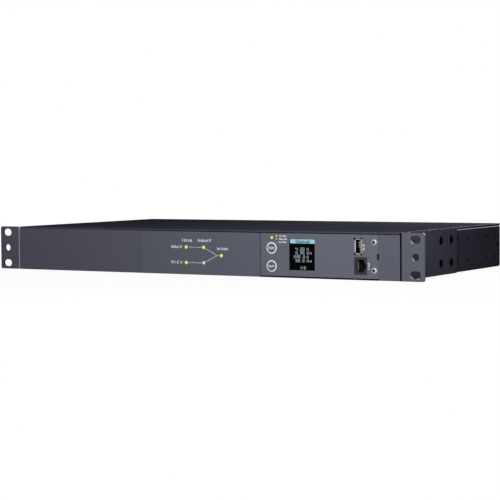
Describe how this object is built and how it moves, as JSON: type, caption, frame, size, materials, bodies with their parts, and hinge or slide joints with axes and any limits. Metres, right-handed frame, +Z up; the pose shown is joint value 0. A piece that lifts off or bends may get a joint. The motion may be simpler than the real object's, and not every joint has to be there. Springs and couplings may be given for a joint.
{
  "type": "rack transfer switch",
  "caption": "Rack-mounted mains transfer switch: folded steel case on rack ears, status panel with display module, inlets and outlets at the back.",
  "frame": {"origin": "centre of the rack-slot pattern, on the front face of the rack ears, at the middle of the rack unit's height", "axes": "+X to the right as seen from the front, +Y to the back along the case, +Z up"},
  "size_m": [0.4826, 0.2516, 0.044],
  "materials": {
    "case_paint": "fine-textured black powder coat",
    "panel_paint": "fine-textured dark grey powder coat",
    "module_paint": "satin grey paint, a little lighter than the panel",
    "film": "printed polyester film, satin",
    "black_screw": "black oxide",
    "bright_screw": "zinc plated",
    "lamp_lens": "translucent lamp lens",
    "display_window": "clear window, gloss",
    "display_body": "black frame",
    "button_cap": "satin key cap",
    "black_plastic": "moulded black nylon",
    "board": "green solder mask",
    "plated_sheet": "zinc-plated sheet",
    "plated_shell": "nickel-plated sheet",
    "white_plastic": "moulded white plastic",
    "contact": "gold-plated spring strip",
    "plated_pin": "nickel-plated pins",
    "plated_nut": "nickel plated",
    "brass": "turned brass",
    "relay_case": "dark blue moulded case",
    "fins": "extruded aluminium",
    "laminations": "varnished laminations and windings",
    "sleeve": "shrink sleeve",
    "terminal": "green terminal plastic",
    "wire": "wire insulation",
    "ribbon": "grey ribbon cable",
    "sensor": "moulded ring"
  },
  "bodies": {
    "case": {"chassis_tray": "case_paint", "top_cover": "case_paint", "front_panel": "panel_paint", "mimic_overlay": "film", "rack_ear_left": "panel_paint", "rack_ear_right": "panel_paint", "ear_screws": "black_screw", "cover_screws": "black_screw", "panel_screws": "black_screw", "mimic_lamps": "lamp_lens", "mimic_board": "board", "module_plate": "module_paint", "module_tray": "plated_sheet", "module_bracket": "plated_sheet", "module_screws": "bright_screw", "module_board": "board", "lcd_window": "display_window", "lcd_display": "display_body", "status_light": "lamp_lens", "button_switches": "black_plastic", "usb_shell": "plated_shell", "usb_tongue": "white_plastic", "usb_contacts": "contact", "jack_housing": "black_plastic", "jack_contacts": "contact", "module_cable": "ribbon", "outlet_1": "black_plastic", "outlet_2": "black_plastic", "outlet_3": "black_plastic", "outlet_4": "black_plastic", "outlet_5": "black_plastic", "outlet_6": "black_plastic", "outlet_7": "black_plastic", "outlet_8": "black_plastic", "outlet_contacts": "contact", "outlet_board": "board", "inlet_a": "black_plastic", "inlet_b": "black_plastic", "inlet_pins": "plated_pin", "breaker_a": "black_plastic", "breaker_b": "black_plastic", "breaker_nuts": "plated_nut", "ground_stud": "brass", "ground_nuts": "brass", "main_board": "board", "board_spacers": "brass", "board_screws": "bright_screw", "transfer_relays": "relay_case", "thyristors": "black_plastic", "heat_sink": "fins", "supply_transformer": "laminations", "capacitors": "sleeve", "terminal_blocks": "terminal", "power_wires": "wire", "current_sensors": "sensor"},
    "select_button": {"select_button": "button_cap"},
    "enter_button": {"enter_button": "button_cap"},
    "breaker_a_button": {"breaker_a_button": "white_plastic"},
    "breaker_b_button": {"breaker_b_button": "white_plastic"}
  },
  "joints": [
    {"name": "select_press", "type": "slide", "parent": "case", "child": "select_button", "axis": [0, 1, 0], "range_m": [0, 0.0006], "stiffness_N_per_m": 1500},
    {"name": "enter_press", "type": "slide", "parent": "case", "child": "enter_button", "axis": [0, 1, 0], "range_m": [0, 0.0006], "stiffness_N_per_m": 1500},
    {"name": "breaker_a_reset", "type": "slide", "parent": "case", "child": "breaker_a_button", "axis": [0, 1, 0], "range_m": [0, 0.0035]},
    {"name": "breaker_b_reset", "type": "slide", "parent": "case", "child": "breaker_b_button", "axis": [0, 1, 0], "range_m": [0, 0.0035]}
  ]
}
